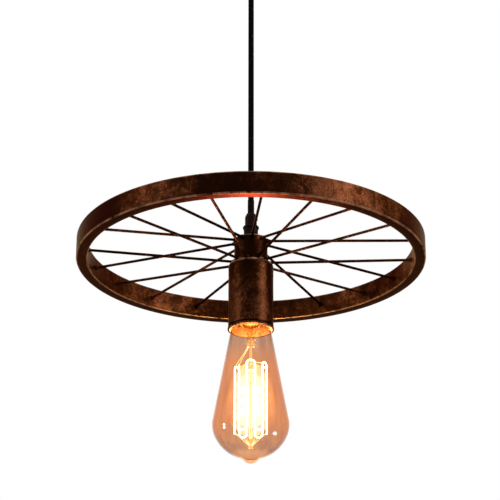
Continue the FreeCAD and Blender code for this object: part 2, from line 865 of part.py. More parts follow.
def bulb_wires():
    """The hooked supports between the beads and the filament, and its two lead wires.

    A hook runs straight out of its bead and just clears the wire inside its turn."""
    top = bulb_top - cage_top_drop
    bottom = top - cage_length
    hook_radius = cage_radius * math.cos(math.pi / cage_loops / 2)
    clear = filament_radius + support_radius + turning_gap
    lower_bead = bulb_top - lower_bead_drop - bead_height / 2
    upper_bead = bulb_top - upper_bead_drop - bead_height / 2
    hooks = [(cage_turn(2 * i + 1), lower_bead, bottom - loop_radius(), 1) for i in range(cage_loops)]
    hooks += [(cage_turn(2 * i), upper_bead, top + loop_radius(), -1) for i in range(1, cage_loops)]
    stem = bulb_stem()
    wires = []
    for turn, bead_middle, wire_height, side in hooks:
        rise = wire_height - bead_middle
        reach = math.hypot(hook_radius, rise)
        lean = math.atan2(rise, hook_radius) + side * math.asin(clear / reach)
        outward = FreeCAD.Vector(math.cos(turn), math.sin(turn), 0)
        way = outward * math.cos(lean) + z_axis * math.sin(lean)
        start = z_axis * bead_middle
        wires.append(bar(support_radius, start, start + way * (reach + support_tip)).cut(stem))
    for index in (0, 2 * cage_loops - 1):
        finish = strand_place(index, top)
        root = FreeCAD.Vector(finish.x, finish.y, 0).normalize() * stem_radius / 2
        start = root + z_axis * (neck_top - stem_length + stem_wall)
        lead = bar(support_radius, start, finish + z_axis * support_radius)
        wires.append(lead.cut(stem))
    return Part.makeCompound(wires)


# Every sub-part under its node's name
sub_parts = {
    "ceiling_bracket": ceiling_bracket(),
    "canopy": canopy(),
    "canopy_screws": canopy_screws(),
    "terminal_block": terminal_block(),
    "terminal_screws": terminal_screws(),
    "canopy_leads": canopy_leads(),
    "upper_nipple": threaded_tube(canopy_face - grip_thread_depth, nipple_top),
    "upper_nipple_nut": hex_nut(canopy_face + canopy_wall),
    "upper_grip_base": on_canopy(grip_base()),
    "upper_grip_cap": on_canopy(grip_cap()),
    "upper_grip_screw": on_canopy(grip_screw(cord_radius)),
    "cord_tail_canopy": cord_tail_canopy(),
    "cord_bend": cord_bend(),
    "cord": cord(),
    "cord_sleeve": cord_sleeve(),
    "cord_tail_head": cord_tail_head(),
    "lower_grip_base": on_hub(grip_base()),
    "lower_grip_cap": on_hub(grip_cap()),
    "lower_grip_screw": on_hub(grip_screw(sleeve_radius)),
    "lower_nipple": threaded_tube(holder_top - holder_thread_depth, hub_top + grip_thread_depth),
    "lower_nipple_nut": hex_nut(holder_top),
    "rim": rim(),
    "hub_shell": hub_shell(),
    "lamp_cup": lamp_cup(),
    "head_leads": head_leads(),
    "holder_cap": holder_cap(),
    "holder_core": holder_core(),
    "holder_body": holder_body(),
    "holder_terminals": holder_terminals(),
    "screw_shell": screw_shell(),
    "centre_contact": centre_contact(),
    "bulb_tip_contact": bulb_tip_contact(),
    "bulb_insulator": bulb_insulator(),
    "bulb_cap": bulb_cap(),
    "bulb_glass": bulb_glass(),
    "bulb_stem": bulb_stem(),
    "bulb_wires": bulb_wires(),
    "bulb_filament": bulb_filament(),
}
for i in range(spoke_count):
    sub_parts[f"spoke_{i + 1:02d}"] = spoke(i)

for name, shape in sub_parts.items():
    if not shape.isValid():
        print("not valid:", name)
    shape.exportStep(f"parts/{name}.step")

print("sub-parts", len(sub_parts))
print("upper mouth", upper_mouth, "lower mouth", lower_mouth, "cup top", cup_top, "bulb tip", bulb_tip)
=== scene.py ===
import math

import bmesh
import bpy
from mathutils import Matrix, Vector, noise


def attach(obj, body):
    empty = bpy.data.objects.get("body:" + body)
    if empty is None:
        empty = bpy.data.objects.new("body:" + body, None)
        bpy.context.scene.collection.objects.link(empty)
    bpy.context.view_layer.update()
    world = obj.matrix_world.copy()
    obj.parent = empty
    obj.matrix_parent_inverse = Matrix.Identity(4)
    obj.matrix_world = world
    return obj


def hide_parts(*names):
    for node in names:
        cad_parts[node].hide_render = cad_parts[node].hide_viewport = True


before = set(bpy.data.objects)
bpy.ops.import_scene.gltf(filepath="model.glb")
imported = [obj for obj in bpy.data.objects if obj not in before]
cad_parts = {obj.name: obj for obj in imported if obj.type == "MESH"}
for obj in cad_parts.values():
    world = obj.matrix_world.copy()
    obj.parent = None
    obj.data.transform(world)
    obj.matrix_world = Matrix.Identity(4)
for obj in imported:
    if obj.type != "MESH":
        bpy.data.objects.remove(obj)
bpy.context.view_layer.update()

# Camera. It stands lower than the lamp and looks up at the wheel from in front, through a long
# lens, and its small shift sets the lamp in the picture as the photograph does.
camera_tilt = 22.31
camera_roll = 0.05


def new_object(name, data):
    """An object for the data, linked into the scene."""
    made = bpy.data.objects.new(name, data)
    bpy.context.scene.collection.objects.link(made)
    return made


camera = new_object("camera", bpy.data.cameras.new("camera"))
camera.location = (0, -1.4620, -0.9106)
look_up = Matrix.Rotation(math.radians(90 + camera_tilt), 3, "X")
roll = Matrix.Rotation(math.radians(camera_roll), 3, "Z")
camera.rotation_euler = (look_up @ roll).to_euler()
camera.data.sensor_width = 36
camera.data.lens = 132.0
camera.data.shift_x = -0.0018
bpy.context.scene.camera = camera

# Free cord. A round two-core flex under a tight black textile braid, pulled straight by the
# lamp's weight. It runs from the mouth of the canopy's grip into the mouth of the lower one.
mm = 0.001
cord_radius = 2.5
cord_top = -49.4
cord_bottom = -284.9
braid_strands = 14
braid_rise = 2 * math.pi * cord_radius / braid_strands


def new_finish(name, even):
    """A new material, its tree and its shader's inputs; even sets what is the same all over."""
    made = bpy.data.materials.new(name)
    made.use_nodes = True
    shader = made.node_tree.nodes["Principled BSDF"].inputs
    for socket, value in even.items():
        shader[socket].default_value = value
    return made, made.node_tree, shader


def join(tree, target, value):
    """Gives an input a value, or another node's output."""
    if isinstance(value, bpy.types.NodeSocket):
        tree.links.new(value, target)
    else:
        target.default_value = value


def put(tree, kind, inputs=(), **settings):
    """Adds a shader node; inputs pairs an input's name or number with what it gets."""
    node = tree.nodes.new("ShaderNode" + kind)
    for name, value in settings.items():
        setattr(node, name, value)
    for name, value in dict(inputs).items():
        join(tree, node.inputs[name], value)
    return node


def sum_of(tree, operation, first, second=0.0, third=0.0):
    """One step of arithmetic on numbers or outputs."""
    inputs = {0: first, 1: second, 2: third}
    return put(tree, "Math", inputs, operation=operation).outputs[0]


def times(tree, first, second, plus=0.0):
    """A product, plus a third number or output."""
    return sum_of(tree, "MULTIPLY_ADD", first, second, plus)


def place_on(tree):
    """The point on the piece, in the lamp's own frame in metres, and its three parts."""
    where = put(tree, "TexCoord").outputs["Object"]
    parts = put(tree, "SeparateXYZ", {0: where}).outputs
    return where, parts[0], parts[1], parts[2]


def grain(tree, where, size, detail=3.0, rough=0.55, twist=0.0):
    """Soft noise from 0 to 1 whose patches are about size millimetres across."""
    inputs = {"Vector": where, "Scale": 1 / (size * mm), "Detail": detail,
              "Roughness": rough, "Distortion": twist}
    return put(tree, "TexNoise", inputs).outputs[0]


def steps_of(tree, value, stops):
    """A colour for each value: stops pairs a position with red, green and blue."""
    ramp = put(tree, "ValToRGB", {0: value})
    elements = ramp.color_ramp.elements
    while len(elements) < len(stops):
        elements.new(0.5)
    for element, (position, colour) in zip(elements, stops):
        element.position = position
        element.color = (*colour, 1)
    return ramp.outputs[0]


def relief(tree, height, depth, under=None):
    """A bump whose full height is depth millimetres, laid over another bump if there is one."""
    inputs = {"Height": height, "Distance": depth * mm, "Strength": 1.0}
    if under is not None:
        inputs["Normal"] = under
    return put(tree, "Bump", inputs).outputs[0]


def braid_finish():
    """Two sets of strands that wind opposite ways and pass over and under each other."""
    made, tree, shader = new_finish(
        "black_textile_braid", {"Roughness": 0.75, "Specular IOR Level": 0.02})
    where, x, y, z = place_on(tree)
    turn = sum_of(tree, "DIVIDE", sum_of(tree, "ARCTAN2", y, x), 2 * math.pi / braid_strands)
    climb = sum_of(tree, "DIVIDE", z, braid_rise * mm)
    right = sum_of(tree, "ADD", turn, climb)
    left = sum_of(tree, "SUBTRACT", turn, climb)
    backs = []
    for lay in (right, left):
        across = sum_of(tree, "PINGPONG", lay, 0.5)
        backs.append(sum_of(tree, "SINE", times(tree, across, math.pi)))
    cells = sum_of(tree, "ADD", sum_of(tree, "FLOOR", right), sum_of(tree, "FLOOR", left))
    over = sum_of(tree, "PINGPONG", cells, 1.0)
    first = times(tree, backs[0], over)
    second = times(tree, backs[1], sum_of(tree, "SUBTRACT", 1.0, over))
    height = sum_of(tree, "ADD", first, second)
    fibres = grain(tree, where, 0.18, detail=2)
    # The colour is darker down in the grooves between the strands: painted shade.
    shade = times(tree, height, sum_of(tree, "ADD", fibres, 0.35))
    join(tree, shader["Base Color"], steps_of(tree, shade, [
        (0.0, (0.0006, 0.0004, 0.0004)),
        (0.5, (0.0022, 0.0014, 0.0012)),
        (1.0, (0.0080, 0.0048, 0.0040))]))
    join(tree, shader["Normal"], relief(tree, height, 0.22))
    return made


braid = braid_finish()


def round_wire(name, routes, radius, finish):
    """A curve piece with one smooth line through each route's points, in millimetres."""
    data = bpy.data.curves.new(name, "CURVE")
    data.dimensions = "3D"
    data.bevel_depth = radius * mm
    data.bevel_resolution = 6
    data.use_fill_caps = True
    data.resolution_u = 12
    for route in routes:
        line = data.splines.new("NURBS")
        line.points.add(len(route) - 1)
        for point, place in zip(line.points, route):
            point.co = (place[0] * mm, place[1] * mm, place[2] * mm, 1)
        line.order_u = 3
        line.use_endpoint_u = True
    data.materials.append(finish)
    return new_object(name, data)


cord_route = [(0, 0, cord_top), (0, 0, (cord_top + cord_bottom) / 2), (0, 0, cord_bottom)]
free_cord = round_wire("free_cord", [cord_route], cord_radius, braid)
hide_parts("cord")
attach(free_cord, "cord")

# Cord inside the fittings. The same flex goes up through the canopy's threaded tube to where its
# jacket is cut back, bends in the upper grip's mouth, and runs down into the lampholder.
jacket_round = 0.5
canopy_jacket = (-46.5, -18.0)
holder_jacket = (-335.8, -285.0)
bend_middle = -49.0
bend_radius = 2.4


def arc_points(centre, radius, first, last, steps):
    """Points on an arc in the plane of radius and height, angles in radians."""
    return [(centre[0] + radius * math.cos(first + (last - first) * i / steps),
             centre[1] + radius * math.sin(first + (last - first) * i / steps))
            for i in range(steps + 1)]


def rounded(corners, steps=6):
    """An outline with its corners rounded; each corner is radius, height and rounding.

    Each point comes with how rubbed it is there, 1 on the crown of an outer corner, which the
    copper paint also shows as a painted highlight line."""
    area = 0
    for here, following in zip(corners, corners[1:] + corners[:1]):
        area += here[0] * following[1] - following[0] * here[1]
    outline = []
    for i in range(len(corners)):
        here = Vector(corners[i][:2])
        rounding = corners[i][2]
        if rounding == 0:
            outline.append((here.x, here.y, 0.0))
            continue
        before = (Vector(corners[i - 1][:2]) - here).normalized()
        after = (Vector(corners[(i + 1) % len(corners)][:2]) - here).normalized()
        half = before.angle(after) / 2
        middle = here + (before + after).normalized() * (rounding / math.sin(half))
        start = here + before * (rounding / math.tan(half)) - middle
        finish = here + after * (rounding / math.tan(half)) - middle
        first = math.atan2(start.y, start.x)
        sweep = (math.atan2(finish.y, finish.x) - first + math.pi) % (2 * math.pi) - math.pi
        outer = (before.x * after.y - before.y * after.x) * area < 0
        for k, point in enumerate(arc_points(middle, rounding, first, first + sweep, steps)):
            rubbed_and_highlit = math.sin(math.pi * k / steps) if outer else 0.0
            outline.append((*point, rubbed_and_highlit))
    return outline


def finished_mesh(name, points, faces, rubbed_and_highlit, finishes, crease=32):
    """A piece from points in millimetres and faces, smooth except over sharp edges."""
    data = bpy.data.meshes.new(name)
    data.from_pydata([Vector(p) * mm for p in points], [], faces)
    shell = bmesh.new()
    shell.from_mesh(data)
    bmesh.ops.recalc_face_normals(shell, faces=shell.faces)
    for face in shell.faces:
        face.smooth = True
    for edge in shell.edges:
        edge.smooth = len(edge.link_faces) == 2 and edge.calc_face_angle() < math.radians(crease)
    shell.to_mesh(data)
    shell.free()
    # How rubbed each point is; the copper paint also shows this as a painted highlight line.
    edge_wear_and_highlight = data.attributes.new("edge_wear_and_highlight", "FLOAT", "POINT")
    edge_wear_and_highlight.data.foreach_set("value", rubbed_and_highlit)
    for finish in finishes:
        data.materials.append(finish)
    return new_object(name, data)


def turned(name, outline, finishes, segments=96, change=None, inside_from=None):
    """A piece turned about Z from an outline of radius, height and edge wear, which the copper
    paint also shows as a painted highlight line.

    change moves a point: it gets the angle, radius and height and gives a new radius and height.
    Faces from the outline's point inside_from on get the second finish."""
    points, faces, rubbed_and_highlit, rings = [], [], [], []
    on_axis = 1e-6
    for radius, height, edge_wear_and_highlight in outline:
        if radius < on_axis:
            rings.append([len(points)] * segments)
            points.append((0, 0, height))
            rubbed_and_highlit.append(edge_wear_and_highlight)
            continue
        rings.append(list(range(len(points), len(points) + segments)))
        for k in range(segments):
            angle = 2 * math.pi * k / segments
            r, z = change(angle, radius, height) if change else (radius, height)
            points.append((r * math.cos(angle), r * math.sin(angle), z))
            rubbed_and_highlit.append(edge_wear_and_highlight)
    inner = []
    for i, (here, following) in enumerate(zip(rings, rings[1:] + rings[:1])):
        for k in range(segments):
            n = (k + 1) % segments
            corners = dict.fromkeys((here[k], here[n], following[n], following[k]))
            if len(corners) > 2:
                faces.append(tuple(corners))
                inner.append(inside_from is not None and i >= inside_from)
    piece = finished_mesh(name, points, faces, rubbed_and_highlit, finishes)
    for face, inside in zip(piece.data.polygons, inner):
        face.material_index = int(inside)
    return piece


def ride_as(piece, body, slot, *nodes):
    """The piece rides on a body and stands for CAD nodes, which it hides.
    slot is not used.
    """
    if nodes:
        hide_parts(*nodes)
    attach(piece, body)


def jacket(name, bottom, top):
    """A length of the jacket with its cut ends rounded over."""
    outline = rounded([(0, bottom, 0), (cord_radius, bottom, jacket_round),
                       (cord_radius, top, jacket_round), (0, top, 0)])
    return turned(name, outline, [braid], segments=32)


ride_as(jacket("jacket_end_canopy", *canopy_jacket),
        "ceiling_fixing", "cord_braid", "cord_tail_canopy")
ride_as(jacket("jacket_end_holder", *holder_jacket), "head", "cord_braid", "cord_tail_head")
bend_arc = arc_points((0, bend_middle), bend_radius, -math.pi / 2, math.pi / 2, 16)
bend_outline = [(r, z, 0.0) for r, z in bend_arc]
bend_piece = turned("cord_bend_braid", bend_outline, [braid], segments=32)
ride_as(bend_piece, "cord_bend", "cord_braid", "cord_bend")

# Core wires. The flex's two cores in thin coloured insulation, bent by hand into the terminal
# block in the canopy and onto the lampholder's terminals.
core_radius = 1.0
core_gap = 1.15


def insulation_finish(name, dark, light):
    """Soft shiny plastic with a slight mottle."""
    made, tree, shader = new_finish(name, {"Roughness": 0.38, "Specular IOR Level": 0.3})
    clouds = grain(tree, place_on(tree)[0], 2.5)
    join(tree, shader["Base Color"], steps_of(tree, clouds, [(0.3, dark), (0.7, light)]))
    return made


brown_core = insulation_finish("brown_core", (0.11, 0.045, 0.02), (0.16, 0.07, 0.032))
blue_core = insulation_finish("blue_core", (0.03, 0.09, 0.24), (0.045, 0.13, 0.33))


def core_pair(name, routes, body, node):
    """Both cores of one end in one piece, each with its own colour."""
    piece = round_wire(name, routes, core_radius, brown_core)
    piece.data.materials.append(blue_core)
    piece.data.splines[1].material_index = 1
    ride_as(piece, body, "core_insulation", node)


core_pair("cores_in_canopy", [
    [(0, side * core_gap, -18), (0, side * core_gap, -12), (0.5, side * core_gap, -8.4),
     (5, side * 3.2, -8.5), (9, side * 4.9, -8.5), (12, side * 5, -8.5), (17.5, side * 5, -8.5)]
    for side in (1, -1)], "ceiling_fixing", "canopy_leads")
core_pair("cores_in_holder", [
    [(side * core_gap, 0, -335.8), (side * 1.3, 0, -337.4), (side * 3.5, 0, -337.9),
     (side * 6, 0, -337.7), (side * 8.1, 0, -338.2), (side * 8.25, 0, -339.8)]
    for side in (1, -1)], "head", "head_leads")

# Copper paint. Every large steel piece is sprayed near black, dabbed with rust brown and dusted
# with copper, and the dust is rubbed back on outer corners until the pale copper shows. The pale
# corners are also painted highlight lines, and on the rim, hub and cup the dust is laid thicker
# where the side lights' highlights fall and thinner in shade: painted highlight and shade.
def window(tree, value, low, high):
    """0 up to low, 1 from high on, and a smooth step between them; low may be the larger."""
    inputs = {0: value, 1: low, 2: high, 3: 0.0, 4: 1.0}
    return put(tree, "MapRange", inputs, interpolation_type="SMOOTHSTEP").outputs[0]


def blend_of(tree, share, first, second):
    """Mixes two colours."""
    node = put(tree, "Mix", data_type="RGBA")
    join(tree, node.inputs[0], share)
    join(tree, node.inputs[6], first)
    join(tree, node.inputs[7], second)
    return node.outputs[2]


def copper_paint():
    """The mottled finish. One attribute on a mesh says where it is rubbed pale, which is also a
    painted highlight line; another says where copper is thick, which also paints highlight and
    shade.
    """
    made, tree, shader = new_finish("mottled_copper_paint", {
        "Metallic": 0.9, "Specular IOR Level": 0.05, "Specular Tint": (0.62, 0.465, 0.34, 1)})
    where = place_on(tree)[0]
    clouds = grain(tree, where, 42, detail=2, rough=0.5)
    patches = grain(tree, where, 11, detail=4, rough=0.6, twist=0.6)
    dabs = grain(tree, where, 3.2, detail=4, rough=0.62)
    specks = grain(tree, where, 0.75, detail=2, rough=0.6)
    # This stored amount also carries painted highlight and painted shade, laid in by angle and
    # height.
    dust_and_painted_light = put(tree, "Attribute", attribute_name="dust_and_painted_light").outputs["Fac"]
    mixed = times(tree, clouds, 0.5, times(tree, patches, 0.7))
    mixed = times(tree, dabs, 0.4, sum_of(tree, "SUBTRACT", mixed, 0.36))
    mixed = times(tree, dust_and_painted_light, 0.30, mixed)
    colour = steps_of(tree, mixed, [
        (0.20, (0.0090, 0.0022, 0.0006)),
        (0.38, (0.0200, 0.0048, 0.0013)),
        (0.54, (0.0400, 0.0098, 0.0028)),
        (0.70, (0.0750, 0.0200, 0.0070)),
        (0.88, (0.1500, 0.0460, 0.0180))])
    shine = times(tree, specks, sum_of(tree, "ADD", mixed, 0.25))
    shine = times(tree, window(tree, shine, 0.34, 0.46), 0.5)
    colour = blend_of(tree, shine, colour, (0.18, 0.060, 0.026, 1))
    # The rubbed corners' pale copper is also a painted highlight line along the edges.
    rubbed_and_highlit = put(tree, "Attribute", attribute_name="edge_wear_and_highlight").outputs["Fac"]
    rubbed_and_highlit = times(tree, rubbed_and_highlit, window(tree, patches, 0.28, 0.62))
    colour = blend_of(tree, times(tree, rubbed_and_highlit, 0.85), colour, (0.46, 0.22, 0.14, 1))
    join(tree, shader["Base Color"], colour)
    rough = times(tree, dabs, 0.20, 0.30)
    join(tree, shader["Roughness"], times(tree, rubbed_and_highlit, -0.12, rough))
    pits = relief(tree, dabs, 0.20)
    join(tree, shader["Normal"], relief(tree, specks, 0.05, pits))
    return made


paint = copper_paint()

# Rim. A rectangular steel tube rolled into a ring with soft corners, its ends butt welded and
# ground back. Rolling left it very slightly uneven.
rim_radius = 150.0
rim_depth = 10.0
rim_bottom = -323.6
rim_top = rim_bottom + 19.2
rim_corner = 1.4
rim_middle = rim_radius - rim_depth / 2
rolling_wave = 0.16
seam_angle = math.radians(118)
seam_width = 2.2
seam_stand = 0.16


def dents(angle, height, fineness, tallness):
    """The gentle unevenness of formed steel, between -1 and 1."""
    return noise.noise((math.cos(angle) * fineness, math.sin(angle) * fineness, height / tallness))


def rim_shape(angle, radius, height):
    """The rolled ring's small waves, and the ground weld that stands a little proud."""
    wave = dents(angle, height, 4, 30) * rolling_wave
    off = ((angle - seam_angle + math.pi) % (2 * math.pi) - math.pi) * radius
    uneven = 0.1 * noise.noise((off, height, radius / 3))
    weld = math.exp(-(off / seam_width) ** 2) * (seam_stand + uneven)
    side = 1 if radius > rim_middle else -1
    return radius + wave * 0.5 + side * weld - 0.1 * side, height


def dust_and_painted_light_on(piece, dust_and_light_at):
    """Stores where the copper dust lies thicker or thinner, on some pieces also as painted
    highlight and shade; the given function gets angle and height.
    """
    stored = piece.data.attributes.new("dust_and_painted_light", "FLOAT", "POINT")
    places = [vertex.co for vertex in piece.data.vertices]
    stored.data.foreach_set("value", [dust_and_light_at(math.atan2(p.y, p.x), p.z / mm) for p in places])


def humps(angle, *places):
    """Humps round the lamp added up; each has its height, its middle and spread in degrees."""
    total = 0
    for height, middle, spread in places:
        off = (math.degrees(angle) - middle + 180) % 360 - 180
        total += height * math.exp(-(off / spread) ** 2)
    return total


rim_outline = rounded([
    (rim_radius - rim_depth, rim_bottom, rim_corner), (rim_radius, rim_bottom, rim_corner),
    (rim_radius, rim_top, rim_corner), (rim_radius - rim_depth, rim_top, rim_corner)])
# Inner corners get less rubbing, so their painted highlight line is fainter than the outer ones'.
rim_outline = [(r, z, edge_wear_and_highlight if r > rim_middle else 0.4 * edge_wear_and_highlight) for r, z, edge_wear_and_highlight in rim_outline]
rim_piece = turned("rim_ring", rim_outline, [paint], segments=720, change=rim_shape)
# Thicker copper in humps round the rim where the side lights' highlights fall: painted highlight.
# The bottom face gets less, so it is darker: painted shade.
dust_and_painted_light_on(rim_piece, lambda angle, height: (
    humps(angle, (1.0, -64, 13), (0.8, -40, 14), (0.7, -119, 13), (0.9, 128, 26), (0.5, 50, 30),
          (0.6, 0, 16)) - (1.6 if height < rim_bottom + 0.2 else 0.75)))
ride_as(rim_piece, "head", "aged_copper_paint", "rim")

# Spokes. Twenty drawn steel rods, alternately high and low on the hub, each pushed into a drilled
# hole at both ends and held there by a small bead of weld under the paint.
spoke_count = 20
spoke_radius = 1.2
bead_reach = 2.6
bead_stand = 0.9
bead_lump = 0.28
rod_lump = 0.04
rod_sides = 14
rod_steps = 24
hub_bead = 2.5
rim_bead = 2.2


def round_rod(name, stations, side, sides, finish, crease):
    """A rod or wire through stations of place, radius and lumpiness; side starts each ring."""
    points, faces = [], []
    end = len(stations) - 1
    for i, (middle, radius, lump) in enumerate(stations):
        ahead = (stations[min(i + 1, end)][0] - stations[max(i - 1, 0)][0]).normalized()
        side = (side - ahead * side.dot(ahead)).normalized()
        up = ahead.cross(side)
        for k in range(sides):
            angle = 2 * math.pi * k / sides
            out = side * math.cos(angle) + up * math.sin(angle)
            uneven = noise.noise((middle + out * 3) * 0.9) * lump
            points.append(middle + out * (radius * (1 + uneven)))
            if i < end:
                here, following = i * sides + k, i * sides + (k + 1) % sides
                faces.append((here, following, following + sides, here + sides))
    faces += [tuple(range(sides)), tuple(range(end * sides, (end + 1) * sides))]
    return finished_mesh(name, points, faces, [0.0] * len(points), [finish], crease)


def ladder(first, last, count):
    """Points or stations in a row, for a stretch that gets a relief."""
    return [tuple(a + (b - a) * i / count for a, b in zip(first, last)) for i in range(count + 1)]


def bead_stations(meeting, outward):
    """A weld bead that swells where the rod meets a wall and runs out along the rod."""
    made = []
    for share in (0, 0.2, 0.4, 0.6, 0.8, 1.0):
        stand = bead_stand * math.cos(share * math.pi / 2) ** 1.5
        lump = bead_lump * (1 - share)
        made.append((meeting + outward * share * bead_reach, spoke_radius + stand, lump))
    return made if outward > 0 else made[::-1]


def rod_ends(node):
    """The middles of a straight rod's two ends, in millimetres, the one nearer the hub first."""
    corners = [vertex.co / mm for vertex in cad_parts[node].data.vertices]
    middles = []
    for pick in (min, max):
        edge = pick(point.xy.length for point in corners)
        ring = [point for point in corners if abs(point.xy.length - edge) < 1]
        middles.append(Vector((min(axis) + max(axis)) / 2 for axis in zip(*ring)))
    return middles


for number in range(1, spoke_count + 1):
    start, finish = rod_ends(f"spoke_{number:02d}")
    length = (finish - start).length
    stations = [(0, spoke_radius, 0), *bead_stations(hub_bead, 1)]
    first, last = hub_bead + bead_reach, length - rim_bead - bead_reach
    plain = [(distance, spoke_radius, rod_lump) for distance in (first, last)]
    stations += ladder(*plain, rod_steps)[1:-1]
    stations += [*bead_stations(length - rim_bead, -1), (length, spoke_radius, 0)]
    line = (finish - start).normalized()
    stations = [(start + line * distance, radius, lump) for distance, radius, lump in stations]
    piece = round_rod(f"spoke_{number:02d}_rod", stations, line.cross(Vector((0, 0, 1))),
                      rod_sides, paint, crease=50)
    coat = 1.6 * noise.noise((number * 0.9, 3.3, 5.1)) - 0.75
    dust_and_painted_light_on(piece, lambda angle, height: coat)
    ride_as(piece, "head", "aged_copper_paint", f"spoke_{number:02d}")

# Hub shell. A short drawn steel cap that stands on the lamp cup and takes the spokes in two rows.
# Its foot is tacked to the cup, and the painted surface is a little uneven.
hub_radius = 14.45
hub_wall = 1.5
hub_foot = -323.6
hub_straight = 21.0
hub_head = -301.0
hub_dent = 0.22
tube_hole = 5.2
tack_angles = (-128, -53, 52, 128)
tack_size = Vector((1.7, 2.3, 1.5))


def wall(radius, first, last, count):
    """Points in a row up or down a straight wall, from one height to another."""
    return ladder((radius, first, 0.0), (radius, last, 0.0), count)


def hub_shape(angle, radius, height):
    """A slightly dented wall."""
    if radius < hub_radius - 0.5:
        return radius, height
    dent = dents(angle, height, 2.2, 7) * hub_dent
    return radius + dent - 0.12, height


hub_outline = rounded([
    (hub_radius - hub_wall, hub_foot, 0),
    *wall(hub_radius, hub_foot, hub_foot + hub_straight, 14)[:-1],
    (hub_radius, hub_head, 1.2), (tube_hole, hub_head, 0), (tube_hole, hub_head - hub_wall, 0),
    (hub_radius - hub_wall, hub_head - hub_wall, 0)])
hub_piece = turned("hub_shell_cap", hub_outline, [paint], segments=120, change=hub_shape)
# The hub's copper is kept darker, and thicker in humps towards the side lights: painted shade and
# painted highlight.
dust_and_painted_light_on(hub_piece, lambda angle, height: humps(angle, (0.5, -60, 24), (0.5, 120, 40)) - 1.1)
ride_as(hub_piece, "head", "aged_copper_paint", "hub_shell")


def weld_tacks(radius, height):
    """Small blobs of weld, flattened and a little uneven, in a ring round the hub's foot."""
    blob = bmesh.new()
    bmesh.ops.create_icosphere(blob, subdivisions=3, radius=1.0)
    points, faces = [], []
    for turn in map(math.radians, tack_angles):
        first = len(points)
        out = Vector((math.cos(turn), math.sin(turn), 0))
        along = Vector((-out.y, out.x, 0))
        for vertex in blob.verts:
            swell = 1 + 0.5 * noise.noise(vertex.co * 1.3 + Vector((turn, 2.0, height / 9)))
            shape = vertex.co * swell * tack_size
            points.append(out * (radius + shape.x) + along * shape.y
                          + Vector((0, 0, height + shape.z)))
        faces += [tuple(first + vertex.index for vertex in face.verts) for face in blob.faces]
    blob.free()
    return finished_mesh("hub_tacks", points, faces, [0.3] * len(points), [paint], crease=60)


hub_tacks = weld_tacks(hub_radius + 0.4, hub_foot + 0.2)
dust_and_painted_light_on(hub_tacks, lambda angle, height: 0.8)
ride_as(hub_tacks, "head", "aged_copper_paint")

# Lamp cup. A deep drawn steel cup with a soft shoulder, open below, and a small rolled bead
# round its mouth. It is painted outside; inside it is bare and catches the bulb's light.
cup_radius = 19.35
cup_top = -323.6
cup_mouth = -384.2
cup_wall = 1.2
cup_shoulder = 3.5
mouth_bead = 1.9
mouth_radius = cup_radius + 0.4
cup_bore = cup_radius - cup_wall
cup_dent = 0.18


def bare_finish(name, dark, light, rough, brushed=0.0):
    """Plain metal with faint clouds of dullness and, if asked, fine turning lines."""
    made, tree, shader = new_finish(name, {"Metallic": 1.0})
    where, _, _, z = place_on(tree)
    clouds = grain(tree, where, 7, detail=4)
    join(tree, shader["Base Color"], steps_of(tree, clouds, [(0.3, dark), (0.7, light)]))
    join(tree, shader["Roughness"], times(tree, clouds, 0.2, rough - 0.1))
    bump = relief(tree, grain(tree, where, 0.6), 0.03)
    if brushed:
        lines = put(tree, "CombineXYZ", {2: times(tree, z, 40.0)}).outputs[0]
        bump = relief(tree, grain(tree, lines, 14, detail=5), brushed, bump)
    join(tree, shader["Normal"], bump)
    return made


cup_inside = bare_finish("cup_inside", (0.56, 0.36, 0.17), (0.70, 0.47, 0.24), 0.45, brushed=0.02)


def cup_shape(angle, radius, height):
    """Shallow dents from the drawing press."""
    if radius < cup_radius - 0.7 or height < cup_mouth + 2:
        return radius, height
    dent = dents(angle, height, 1.8, 14) * cup_dent
    return radius + dent - 0.1, height


cup_outline = rounded([
    (tube_hole, cup_top, 0), (cup_radius, cup_top, cup_shoulder),
    *wall(cup_radius, cup_top - cup_shoulder, cup_mouth + mouth_bead, 24)[1:],
    (mouth_radius, cup_mouth + 1.4, 0.3), (mouth_radius, cup_mouth, 0.5),
    (cup_bore, cup_mouth, 0.3), (cup_bore, cup_top - cup_wall, cup_shoulder - cup_wall),
    (tube_hole, cup_top - cup_wall, 0)])
mouth_point = next(i for i, (radius, height, _) in enumerate(cup_outline)
                   if abs(radius - cup_bore) < 1e-4 and height < cup_mouth + 1)
cup_piece = turned("lamp_cup_drawn", cup_outline, [paint, cup_inside], segments=120,
                   change=cup_shape, inside_from=mouth_point)
# Thicker copper in humps where the side lights' highlights fall, rising towards the mouth: painted
# highlight. The lip at the mouth is held near black: painted shade against the bulb's light.
dust_and_painted_light_on(cup_piece, lambda angle, height: (
    humps(angle, (0.8, -58, 17), (0.35, -128, 20), (0.5, 90, 50))
    + 0.9 * (cup_top - 22 - height) / (cup_top - cup_mouth)
    - (0.65 if height > cup_mouth + 2 else 2.5)))
ride_as(cup_piece, "head", "aged_copper_paint", "lamp_cup")

# Cord grips. A black nylon fitting screwed on the threaded tube: a tapered base, and a cap with a
# ribbed bead whose side screw clamps the cord. The same one hangs under the canopy, upside down.
grip_screw_height = 19.1
sleeve_radius = 2.9
canopy_face = -25.0


def moulded_finish(name, dark, light, rough, pattern=1.2, gloss=0.3):
    """Moulded plastic: faint clouds and a fine pebbled skin."""
    made, tree, shader = new_finish(name, {"Specular IOR Level": gloss})
    where = place_on(tree)[0]
    clouds = grain(tree, where, 5, detail=3)
    join(tree, shader["Base Color"], steps_of(tree, clouds, [(0.3, dark), (0.7, light)]))
    join(tree, shader["Roughness"], times(tree, clouds, 0.16, rough - 0.08))
    join(tree, shader["Normal"], relief(tree, grain(tree, where, pattern, detail=2), 0.05))
    return made


